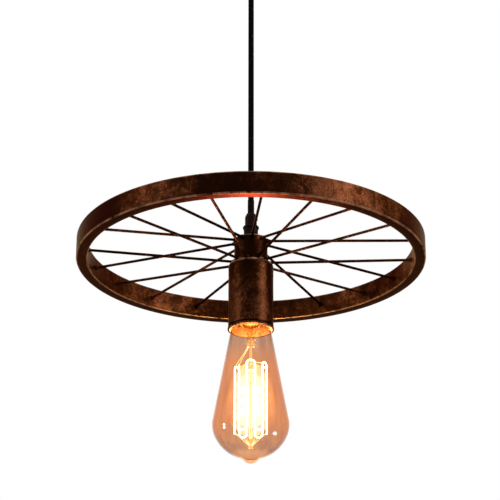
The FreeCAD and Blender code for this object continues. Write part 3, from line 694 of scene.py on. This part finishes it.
black_nylon = moulded_finish(
    "black_nylon", (0.0060, 0.0016, 0.0009), (0.018, 0.0055, 0.0035), 0.45, gloss=0.03)


def ribbed(low, high, count, depth, narrowness=2):
    """Ribs round a stretch of a turned piece, cut inwards so that the outer size stays."""
    def change(angle, radius, height):
        if low < height < high:
            radius -= depth * (0.5 - 0.5 * math.cos(angle * count)) ** narrowness
        return radius, height
    return change


def slotted_pin(name, radius, start, end, finish, slot_width, slot_depth):
    """A short pin along X with a screwdriver slot across the face at its far end."""
    outline = rounded([
        (0, start, 0), (radius, start, 0), (radius, end, radius * 0.15), (0, end, 0)], 3)
    piece = turned(name, outline, [finish], segments=40)
    cutter = new_object("slot_cutter", bpy.data.meshes.new("slot_cutter"))
    box = bmesh.new()
    bmesh.ops.create_cube(box, size=1)
    size = Vector((slot_width, 4 * radius, 2 * slot_depth))
    bmesh.ops.scale(box, verts=box.verts, vec=size * mm)
    bmesh.ops.translate(box, verts=box.verts, vec=Vector((0, 0, end)) * mm)
    box.to_mesh(cutter.data)
    box.free()
    carve = piece.modifiers.new("slot", "BOOLEAN")
    carve.object = cutter
    carve.operation = "DIFFERENCE"
    carve.solver = "EXACT"
    bpy.context.view_layer.update()
    carved = piece.evaluated_get(bpy.context.evaluated_depsgraph_get())
    carved = bpy.data.meshes.new_from_object(carved)
    piece.modifiers.clear()
    piece.data = carved
    bpy.data.objects.remove(cutter)
    piece.data.transform(Matrix.Rotation(math.radians(90), 4, "Y"))
    return piece


blackened_steel = bare_finish("blackened_steel", (0.020, 0.012, 0.010), (0.05, 0.032, 0.025), 0.38)


def cord_grip(prefix, body, placing, held_radius):
    """The three pieces of one grip, standing on Z = 0 before placing moves them."""
    base = turned(prefix + "_grip_base_moulded", rounded([
        (5.0, 0, 0), (6.0, 0, 0.3), (6.0, 3.5, 0), *ladder((6.02, 3.6, 0), (6.28, 9.2, 0), 6),
        (6.3, 9.6, 0.15), (4.2, 9.6, 0), (4.2, 16.0, 0), (2.5, 16.0, 0), (2.5, 7.0, 0),
        (5.0, 7.0, 0)]), [black_nylon], segments=192, change=ribbed(3.8, 9.0, 24, 0.35))
    cap = turned(prefix + "_grip_cap_moulded", rounded([
        (4.2, 9.6, 0), (7.05, 9.6, 1.1), (7.05, 12.0, 1.1), (5.15, 12.0, 0.2),
        (5.15, 20.7, 1.5), (3.7, 24.0, 0.4), (3.1, 24.0, 0.2), (3.1, 22.0, 0), (4.2, 22.0, 0)]),
        [black_nylon], segments=192, change=ribbed(9.9, 11.7, 32, 0.3))
    screw = slotted_pin(
        prefix + "_grip_screw_slotted", 1.5, held_radius, 5.85, blackened_steel, 0.45, 0.6)
    screw.data.transform(Matrix.Translation((0, 0, grip_screw_height * mm)))
    for piece, node in ((base, "base"), (cap, "cap"), (screw, "screw")):
        piece.data.transform(placing)
        ride_as(piece, body, "black_grip", f"{prefix}_grip_{node}")


cord_grip("lower", "head", Matrix.Translation((0, 0, hub_head * mm)), sleeve_radius)
upside_down = Matrix.Rotation(math.pi, 4, "X")
cord_grip("upper", "ceiling_fixing",
          Matrix.Translation((0, 0, canopy_face * mm)) @ upside_down, cord_radius)

# Sleeve. A short length of black rubber tube, shrunk on the cord's lower end. It stands out of the
# lower grip's mouth, and the grip's screw bites on it.
sleeve_bore = 2.55
sleeve_bottom = -285.0
sleeve_top = -264.0


def sleeve_shape(angle, radius, height):
    """Slight waves where the tube shrank unevenly."""
    if radius < 2.6:
        return radius, height
    return radius - 0.05 * (1 + noise.noise((angle * 1.2, height / 3, 0.0))), height


rubber = moulded_finish("shrunk_rubber", (0.0045, 0.0012, 0.0008), (0.014, 0.0042, 0.003), 0.55,
                        pattern=0.5, gloss=0.02)
sleeve_outline = rounded([
    (sleeve_bore, sleeve_bottom, 0), (sleeve_radius, sleeve_bottom, 0.1),
    *ladder((sleeve_radius, -284.5, 0), (2.88, -265.0, 0), 16),
    (2.85, sleeve_top, 0.15), (sleeve_bore, sleeve_top, 0)])
sleeve = turned("cord_sleeve_shrunk", sleeve_outline, [rubber], segments=48, change=sleeve_shape)
ride_as(sleeve, "head", "sleeve_rubber", "cord_sleeve")

# Threaded tubes and nuts. Hollow zinc-plated tubes with a fine thread hold each grip to its
# sheet metal, with a hexagon nut inside.
tube_pitch = 1.0
thread_depth = 0.5
tube_radius = 5.0
tube_bore = 3.6
rows_per_turn = 6
zinc = bare_finish("zinc_plate", (0.42, 0.42, 0.40), (0.60, 0.60, 0.57), 0.32)


def threaded_tube(name, bottom, top, body, node):
    """A tube whose outer wall carries a fine V thread."""
    def change(angle, radius, height):
        if radius < tube_radius - 0.01:
            return radius, height
        phase = (height / tube_pitch - angle / (2 * math.pi)) % 1
        return radius - thread_depth * abs(2 * phase - 1), height
    rows = round((top - bottom) / tube_pitch * rows_per_turn)
    outline = [(tube_bore, bottom, 0.0), *wall(tube_radius, bottom, top, rows),
               (tube_bore, top, 0.0)]
    ride_as(turned(name, outline, [zinc], segments=48, change=change), body, "zinc_steel", node)


def dress(finish, *nodes):
    """Gives a finish to CAD nodes whose shape is right."""
    for node in nodes:
        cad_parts[node].data.materials[0] = finish


threaded_tube("upper_tube_threaded", -32.0, -19.0, "ceiling_fixing", "upper_nipple")
threaded_tube("lower_tube_threaded", -334.8, -294.0, "head", "lower_nipple")
dress(zinc, "upper_nipple_nut", "lower_nipple_nut")

# Canopy. A shallow spun steel cap that closes against the ceiling, painted like the wheel, with
# its lower corner rolled over a large radius.
canopy_radius = 50.0
canopy_roll = 7.0
canopy_bore = 49.0
canopy_inside = -24.0


def canopy_shape(angle, radius, height):
    """The faint rings that the spinning tool leaves on the flat face."""
    if height < canopy_face + 0.2 and radius < canopy_radius - canopy_roll:
        return radius, height + 0.05 * math.cos(radius * 2.2)
    return radius, height


canopy_outline = rounded([
    (tube_hole, canopy_face, 0), *ladder((6, canopy_face, 0), (42.5, canopy_face, 0), 60),
    (canopy_radius, canopy_face, canopy_roll), (canopy_radius, 0, 0.3), (canopy_bore, 0, 0.3),
    (canopy_bore, canopy_inside, 6.0), (tube_hole, canopy_inside, 0)], steps=10)
canopy_piece = turned("canopy_spun", canopy_outline, [paint], segments=180, change=canopy_shape)
ride_as(canopy_piece, "ceiling_fixing", "aged_copper_paint", "canopy")

# Thumb screws. Two steel screws with knurled heads, painted like the canopy. They go through its
# side into the bracket's ears and hold it up.
screw_drop = -8.5
thumb_radius = 4.0
thumb_shank = 2.0
thumb_tip = 42.0
thumb_seat = 50.0
thumb_end = 54.5
knurling = ribbed(thumb_seat + 0.3, thumb_end - 0.7, 28, 0.3, narrowness=1)
screw_outline = rounded([
    (0, thumb_tip, 0), (thumb_shank, thumb_tip, 0.4), (thumb_shank, thumb_seat, 0),
    (thumb_radius, thumb_seat, 0.4), *wall(thumb_radius, thumb_seat + 0.6, thumb_end - 1.1, 1),
    (thumb_radius, thumb_end, 0.9), (0, thumb_end, 0)])
for side in (0, 1):
    screw = turned(
        f"thumb_screw_{side + 1}", screw_outline, [paint], segments=224, change=knurling)
    facing = Matrix.Rotation(math.pi * side, 4, "Z") @ Matrix.Rotation(math.pi / 2, 4, "Y")
    screw.data.transform(Matrix.Translation((0, 0, screw_drop * mm)) @ facing)
    ride_as(screw, "ceiling_fixing", "aged_copper_paint", "canopy_screws")

# Ceiling bracket and terminal block. The bracket is a pressed zinc-plated strip screwed to the
# ceiling; the white moulded block under it joins the supply to the cord's cores.
white_plastic = moulded_finish("white_moulding", (0.66, 0.65, 0.60), (0.74, 0.73, 0.69), 0.42)
dress(zinc, "ceiling_bracket")
dress(white_plastic, "terminal_block")
head_radius = 2.2
head_height = 1.4
shank_radius = 1.5
block_screws = [(x, y, -13.5, -9.5) for x in (14.0, 22.0) for y in (-5.0, 5.0)]
block_screws.append((18.0, 0.0, -10.9, 0.0))
for number, (x, y, face, tip) in enumerate(block_screws, 1):
    length = tip - face
    head = slotted_pin(f"block_screw_{number}_head", head_radius, -head_height, 0, zinc, 0.6, 0.7)
    shank = turned(f"block_screw_{number}_shank", rounded([
        (0, head_height, 0), (shank_radius, head_height, 0), (shank_radius, length, 0.3),
        (0, length, 0)], 3), [zinc], segments=32)
    head.data.transform(Matrix.Rotation(math.radians(90), 4, "Y"))
    for piece in (head, shank):
        piece.data.transform(Matrix.Translation(Vector((x, y, face)) * mm))
        ride_as(piece, "ceiling_fixing", "zinc_steel", "terminal_screws")

# Lampholder. A glazed porcelain holder inside the cup: a domed cap, a core with two brass
# terminals and a sprung contact, and a skirt round the pressed brass screw shell.
def porcelain_finish():
    """Off-white glaze with faint specks."""
    made, tree, shader = new_finish("glazed_porcelain", {"Roughness": 0.16})
    where = place_on(tree)[0]
    clouds = grain(tree, where, 6)
    specks = window(tree, grain(tree, where, 0.7), 0.70, 0.76)
    colour = steps_of(tree, clouds, [(0.3, (0.70, 0.64, 0.54)), (0.7, (0.80, 0.75, 0.66))])
    join(tree, shader["Base Color"], blend_of(tree, specks, colour, (0.45, 0.38, 0.30, 1)))
    join(tree, shader["Normal"], relief(tree, clouds, 0.08))
    return made


porcelain = porcelain_finish()
brass = bare_finish("pressed_brass", (0.58, 0.36, 0.13), (0.78, 0.54, 0.24), 0.30)
bronze = bare_finish("spring_bronze", (0.50, 0.28, 0.14), (0.66, 0.40, 0.22), 0.34)
dress(porcelain, "holder_cap", "holder_core", "holder_body")
dress(brass, "holder_terminals")
dress(bronze, "centre_contact")
screw_pitch = 25.4 / 7
shell_radius = 13.3
shell_wall = 0.4
shell_thread = 0.33
shell_bottom = -371.4
shell_top = -349.8
shell_rows = 60


def round_thread(angle, height):
    """How far a round-formed screw thread stands out at a place, from 0 to 1."""
    return 0.5 + 0.5 * math.cos(2 * math.pi * height / screw_pitch + angle)


def shell_shape(angle, radius, height):
    """The pressed thread; the wall keeps its thickness, and each end fades to plain."""
    fade = min(1, (height - shell_bottom) / 2, (shell_top - height) / 2)
    return radius + shell_thread * fade * round_thread(angle, height), height


shell_outline = [*wall(shell_radius + shell_wall, shell_bottom, shell_top, shell_rows),
                 *wall(shell_radius, shell_top, shell_bottom, shell_rows)]
shell_piece = turned(
    "screw_shell_pressed", shell_outline, [brass], segments=72, change=shell_shape)
ride_as(shell_piece, "head", "brass", "screw_shell")

# Bulb cap. A thin pressed metal screw cap: the thread, a flared foot that holds the glass, a brown
# glass insulator at the top and a domed solder contact.
cap_radius = 13.0
cap_bore = 12.6
cap_top = -357.3
cap_thread = 0.95
cap_rows = 84
thread_start = cap_top - 2.2
thread_end = -374.3
cap_foot = -378.3
cap_metal = bare_finish("bulb_cap_metal", (0.52, 0.40, 0.22), (0.72, 0.58, 0.36), 0.28)
brown_glass = moulded_finish("brown_glass", (0.22, 0.11, 0.045), (0.34, 0.19, 0.08), 0.14)
solder = bare_finish("domed_solder", (0.42, 0.42, 0.42), (0.58, 0.58, 0.57), 0.34)
dress(brown_glass, "bulb_insulator")
dress(solder, "bulb_tip_contact")


def cap_shape(angle, radius, height):
    """The thread is pressed inwards, so that its crests keep the cap's size."""
    fade = max(0, min(1, (height - thread_end) / 2, (cap_top - 1.0 - height) / 2))
    return radius - cap_thread * fade * (1 - round_thread(angle, height)), height


cap_outline = [
    (11.0, cap_top, 0.0), (12.1, cap_top - 0.5, 0.4), (12.8, cap_top - 1.3, 0.4),
    *wall(cap_radius, thread_start, thread_end, cap_rows),
    (13.35, thread_end - 0.5, 0.0), (13.6, thread_end - 1.0, 0.4), (13.6, cap_foot + 0.2, 0.0),
    (13.5, cap_foot, 0.5), (13.25, cap_foot, 0.0), (13.2, thread_end - 1.0, 0.0),
    *wall(cap_bore, thread_end, thread_start, cap_rows),
    (12.4, cap_top - 1.3, 0.0), (11.8, cap_top - 0.8, 0.0), (11.0, cap_top - 0.4, 0.0)]
cap_piece = turned("bulb_cap_pressed", cap_outline, [cap_metal], segments=96, change=cap_shape)
ride_as(cap_piece, "bulb", "brass", "bulb_cap")

# Bulb glass. A blown envelope with a straight cone over a round belly, coated amber, and drawn off
# below to a small sealed pip.
glass_wall = 0.8
neck_radius = 13.2
neck_top = -375.3
belly = (10.2, -467.5)
belly_arc = 22.0
bottom_arc = 33.0
shoulder = (11.4, -386.8)
shoulder_round = 6.0
shoulder_hollow = 3.0
pip_radius = 7.5
pip_hollow = 4.0
bulb_tip = -500.5


def glass_skin(skin):
    """The outline from the neck to the bottom of the pip, moved inwards by skin."""
    across, drop = belly[0] - shoulder[0], shoulder[1] - belly[1]
    slant = math.acos((shoulder_round - belly_arc) / math.hypot(across, drop))
    slant -= math.atan2(drop, across)
    reach = neck_radius + shoulder_hollow - shoulder[0]
    rise = math.sqrt((shoulder_hollow + shoulder_round) ** 2 - reach ** 2)
    hollow = (neck_radius + shoulder_hollow, shoulder[1] + rise)
    turn = math.atan2(rise, reach)
    side = [(neck_radius - skin, neck_top), (neck_radius - skin, (neck_top + hollow[1]) / 2)]
    side += arc_points(hollow, shoulder_hollow + skin, math.pi, math.pi + turn, 8)
    side += arc_points(shoulder, shoulder_round - skin, turn, slant, 8)
    bottom = (0, belly[1] + math.sqrt((bottom_arc - belly_arc) ** 2 - belly[0] ** 2))
    meet = math.atan2(belly[1] - bottom[1], belly[0])
    cone_end = arc_points(belly, belly_arc - skin, slant, meet, 40)
    side += ladder(side[-1], cone_end[0], 24)[1:-1] + cone_end
    pip = (0, bulb_tip + pip_radius)
    apart = bottom[1] - pip[1]
    wide, narrow = bottom_arc + pip_hollow, pip_radius + pip_hollow
    rise = (apart ** 2 - wide ** 2 + narrow ** 2) / (2 * apart)
    dip = (math.sqrt(narrow ** 2 - rise ** 2), pip[1] + rise)
    leave = math.atan2(dip[1] - bottom[1], dip[0])
    enter = math.atan2(rise, dip[0])
    side += arc_points(bottom, bottom_arc - skin, meet, leave, 20)[1:]
    side += arc_points(dip, pip_hollow + skin, leave + math.pi, enter + math.pi, 10)[1:]
    side += arc_points(pip, pip_radius - skin, enter, -math.pi / 2, 14)[1:]
    side[-1] = (0, side[-1][1])
    return [(r, z, 0.0) for r, z in side]


def height_fade(tree, z, start, end):
    """0 at one height of the lamp and 1 at another, in millimetres."""
    return window(tree, z, start * mm, end * mm)


def amber_glass():
    """Clear glass with a thin amber coat, deeper edge on, partly as a painted dark reflection at
    the edges; it has a painted glow from the filament, warmer in a middle band and paler at the
    pip.
    """
    made, tree, shader = new_finish("amber_glass", {
        "Transmission Weight": 1.0, "IOR": 1.1, "Roughness": 0.0,
        "Emission Color": (1.0, 0.20, 0.02, 1)})
    where, _, _, z = place_on(tree)
    # The coat is deeper edge on; its dark edge colour is also a painted dark reflection at the
    # edges.
    edge_on = put(tree, "LayerWeight", {"Blend": 0.5}).outputs["Facing"]
    coat = steps_of(tree, edge_on, [
        (0.0, (0.78, 0.58, 0.46)), (0.45, (0.74, 0.54, 0.42)),
        (0.70, (0.62, 0.42, 0.32)), (0.90, (0.22, 0.10, 0.06))])
    # Painted glow of the filament's light: a warmer coat colour and a faint emission in a middle
    # band.
    middle = times(tree, height_fade(tree, z, -494, -462), height_fade(tree, z, -396, -415))
    coat = blend_of(tree, times(tree, middle, 0.4), coat, (0.76, 0.46, 0.20, 1))
    streaks = put(tree, "Mapping", {"Vector": where, "Scale": (1, 1, 0.05)}).outputs["Vector"]
    streaks = window(tree, grain(tree, streaks, 6, detail=2, rough=0.5), 0.36, 0.64)
    coat = blend_of(tree, times(tree, streaks, 0.45), coat, (0.56, 0.38, 0.32, 1))
    # Painted glow at the pip: a paler coat and the same faint emission.
    pip = height_fade(tree, z, -490.5, -494.5)
    coat = blend_of(tree, times(tree, pip, 0.7), coat, (0.95, 0.74, 0.48, 1))
    join(tree, shader["Base Color"], coat)
    lit = sum_of(tree, "MAXIMUM", middle, pip)
    join(tree, shader["Emission Strength"], times(tree, lit, 0.07))
    return made


glass_outline = glass_skin(0) + glass_skin(glass_wall)[::-1]
glass_piece = turned("bulb_envelope", glass_outline, [amber_glass()], segments=128)
glass_piece.visible_shadow = False
ride_as(glass_piece, "bulb", "amber_glass", "bulb_glass")

# Stem and supports. A glass funnel sealed in the neck is pinched flat round the lead wires and
# drawn into a rod; fine hooks stand out from its two glass beads and hold the filament.
def stem_finish():
    """Clear glass, warm above, with a painted glow of the filament's light below its pinched end.
    """
    made, tree, shader = new_finish("stem_glass", {
        "Transmission Weight": 1.0, "IOR": 1.25, "Roughness": 0.02,
        "Emission Color": (1.0, 0.62, 0.24, 1)})
    where, _, _, z = place_on(tree)
    lit = height_fade(tree, z, -391, -399)
    glass = blend_of(tree, lit, (0.98, 0.82, 0.56, 1), (1.0, 0.90, 0.72, 1))
    join(tree, shader["Base Color"], glass)
    join(tree, shader["Emission Strength"], times(tree, lit, 0.45))
    join(tree, shader["Normal"], relief(tree, grain(tree, where, 3), 0.12))
    return made


dress(stem_finish(), "bulb_stem")
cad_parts["bulb_stem"].visible_shadow = False
support_wire_painted_glow = bare_finish("drawn_wire_painted_glow", (0.30, 0.22, 0.13), (0.45, 0.34, 0.22), 0.3)
wire_shader = support_wire_painted_glow.node_tree.nodes["Principled BSDF"].inputs
# The support wires glow with painted filament light, though they are no lamp.
wire_shader["Emission Color"].default_value = (1.0, 0.72, 0.34, 1)
wire_shader["Emission Strength"].default_value = 2.2
dress(support_wire_painted_glow, "bulb_wires")

# Filament. One long coiled wire hung up and down between the hooks as a cage of twelve strands.
# It is lit, so it is drawn near white, plain and a little thicker.
cage_radius = 13.8
cage_top = -418.5
cage_bottom = -471.5
cage_loops = 6
cage_open_angle = math.radians(210)
glowing_radius = 0.5


def filament_finish():
    """Glowing wire, a touch cooler at the bottom of its lower bends."""
    made, tree, shader = new_finish("glowing_filament", {
        "Base Color": (0.8, 0.5, 0.2, 1), "Emission Color": (1.0, 0.80, 0.48, 1)})
    heat = height_fade(tree, place_on(tree)[3], -484, -474)
    join(tree, shader["Emission Strength"], times(tree, heat, 60.0, 60.0))
    return made


def strand_middle(number):
    """Where a strand stands round the cage, at height 0."""
    turn = cage_open_angle + math.pi / cage_loops * (number + 0.5)
    return Vector((cage_radius * math.cos(turn), cage_radius * math.sin(turn), 0))


def filament_points():
    """The wire's way: straight down, a half circle, straight up, and so on round the cage."""
    strands = 2 * cage_loops
    loop = cage_radius * math.sin(math.pi / strands)
    route = []
    for i in range(strands):
        here, there = strand_middle(i), strand_middle(i + 1)
        down = i % 2 == 0
        first, last = (cage_top, cage_bottom) if down else (cage_bottom, cage_top)
        route += [here + Vector((0, 0, first + (last - first) * k / 10)) for k in range(11)]
        if i < strands - 1:
            middle, half = (here + there) / 2, (here - there) / 2
            sign = -1 if down else 1
            for k in range(1, 12):
                angle = math.pi * k / 12
                route.append(middle + half * math.cos(angle)
                             + Vector((0, 0, last + sign * loop * math.sin(angle))))
    return route


lit_wire = [(place, glowing_radius, 0) for place in filament_points()]
filament = round_rod("filament_cage", lit_wire, Vector((1, 0, 0)), 8, filament_finish(), crease=60)
filament.visible_shadow = False
filament.visible_diffuse = False
filament.visible_glossy = False
ride_as(filament, "bulb", "filament", "bulb_filament")

# Bulb's light. Round lights inside the bulb stand for that of the thin wire. Two rows of faint
# ones are seen through the glass, as a pale glow round the cage and a warm haze out to the glass.
cage_middle = (cage_top + cage_bottom) / 2
neck_middle = -392.0
gleam_height = -402.0
wire_light = (1.0, 0.66, 0.34)


def new_light(name, kind, power, place):
    """A light that the camera doesn't see."""
    lamp = new_object(name, bpy.data.lights.new(name, kind))
    lamp.data.energy = power
    lamp.location = place
    lamp.visible_camera = False
    return lamp


def bulb_light(name, height, radius, power, colour, seen=False):
    """One round light on the bulb's axis; seen lets it show through the glass."""
    lamp = new_light(name, "POINT", power, (0, 0, height * mm))
    lamp.data.color = colour
    lamp.data.shadow_soft_size = radius * mm
    lamp.visible_glossy = not seen
    lamp.visible_transmission = seen
    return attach(lamp, "bulb")


def glow_row(name, top, bottom, count, radii, colour, brightness):
    """Faint lights in a row that look like one glow; radii are those of the first and the last."""
    for number in range(count):
        share = number / (count - 1)
        radius = radii[0] + (radii[1] - radii[0]) * share
        power = brightness * (2 * math.pi * radius * mm) ** 2
        bulb_light(f"{name}_{number + 1}", top + (bottom - top) * share, radius, power, colour,
                   seen=True)


def shine_only_on(lamp, piece):
    """The light falls on this piece and nothing else."""
    lit = bpy.data.collections.new(lamp.name + "_falls_on")
    lit.objects.link(piece)
    lamp.light_linking.receiver_collection = lit


glow_row("pale_glow", top=-428.0, bottom=-464.0, count=5, radii=(15.2, 15.2),
         colour=(1.0, 0.92, 0.76), brightness=1.1)
glow_row("warm_haze", top=-434.0, bottom=-450.0, count=3, radii=(27.0, 29.88),
         colour=(1.0, 0.40, 0.07), brightness=0.13)
bulb_light("filament_light", cage_middle, radius=14, power=1.6, colour=wire_light)
bulb_light("neck_light", neck_middle, radius=7, power=0.18, colour=wire_light)
shine_only_on(bulb_light("gleam_under_rim", gleam_height, radius=9, power=2.8,
                         colour=(1.0, 0.95, 0.40)), rim_piece)

# Studio. A pale floor far below, one large soft light on each side, two small ones for the sparks
# on the glass, and an even white surround.
floor_level = -2.95
floor_reach = 9
lamp_middle = Vector((0, 0, -0.36))
plain_level = 0.45

floor_corners = [(x * floor_reach, y * floor_reach, floor_level)
                 for x, y in ((-1, -1), (1, -1), (1, 1), (-1, 1))]
floor_data = bpy.data.meshes.new("floor")
floor_data.from_pydata(floor_corners, [], [(0, 1, 2, 3)])
floor_data.materials.append(new_finish("pale_floor", {
    "Base Color": (0.90, 0.90, 0.90, 1), "Roughness": 0.9, "Specular IOR Level": 0.1})[0])
floor = new_object("floor", floor_data)


def soft_light(name, place, size, power):
    """A round studio light that faces the lamp."""
    lamp = new_light(name, "AREA", power, place)
    lamp.data.shape = "DISK"
    lamp.data.size = size
    lamp.rotation_euler = (lamp_middle - Vector(place)).to_track_quat("-Z", "Y").to_euler()
    return lamp


soft_light("right_soft_light", (1.75, -0.75, 0.45), size=0.9, power=15)
soft_light("left_soft_light", (-1.9, -0.7, 0.45), size=0.9, power=10)
for spark in (soft_light("left_spark", (-1.49, 0.02, -0.763), size=0.36, power=700),
              soft_light("right_spark", (1.32, 0.147, -1.209), size=0.28, power=400)):
    shine_only_on(spark, glass_piece)


def white_surround():
    """White to the eye, in metal and through glass, and gentler where it lights plain surfaces."""
    world = bpy.data.worlds.new("studio")
    world.use_nodes = True
    bpy.context.scene.world = world
    tree = world.node_tree
    path = put(tree, "LightPath").outputs
    seen = sum_of(tree, "ADD", path["Is Camera Ray"], path["Is Glossy Ray"])
    seen = sum_of(tree, "MINIMUM", sum_of(tree, "ADD", seen, path["Is Transmission Ray"]), 1.0)
    background = tree.nodes["Background"].inputs
    background[0].default_value = (1, 1, 1, 1)
    join(tree, background[1], times(tree, seen, 1 - plain_level, plain_level))


white_surround()
bpy.context.scene.view_settings.view_transform = "Standard"
